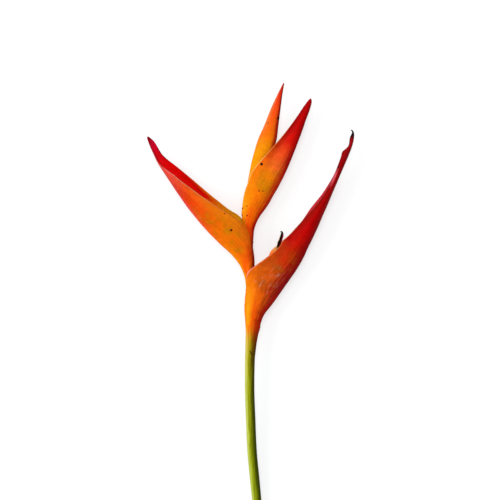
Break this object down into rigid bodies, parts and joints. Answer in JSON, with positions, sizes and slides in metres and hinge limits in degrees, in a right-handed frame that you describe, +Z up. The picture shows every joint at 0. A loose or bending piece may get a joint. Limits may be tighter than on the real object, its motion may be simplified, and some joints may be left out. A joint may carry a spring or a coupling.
{
  "type": "heliconia flower",
  "caption": "Cut heliconia flower head on its stem, lying flat: boat-shaped bracts set left and right of a zigzag axis, with a withered floret.",
  "frame": {"origin": "on the surface, under the middle of the lying flower's box", "axes": "+X across the head, +Y along the stem from its cut end to the tips, +Z up from the surface"},
  "size_m": [0.1141, 0.2363, 0.0136],
  "materials": {
    "stem_skin": "smooth, slightly waxy, green turning orange at the head",
    "bract_skin_red": "smooth and waxy, orange at the base turning deep red",
    "bract_skin_orange": "smooth and waxy, orange with red edges and tip",
    "bract_skin_amber": "smooth and waxy, amber turning red at the tip",
    "floret_skin": "satin, orange with a paler base",
    "withered_petals": "dry and matt, near black"
  },
  "bodies": {
    "root": {"stem": "stem_skin", "bract_lowest": "bract_skin_red", "bract_left": "bract_skin_orange", "bract_upper_right": "bract_skin_orange", "bract_top": "bract_skin_amber", "floret_ovary": "floret_skin", "floret_withered": "withered_petals", "bud_lowest": "floret_skin", "bud_left": "floret_skin"}
  },
  "joints": []
}
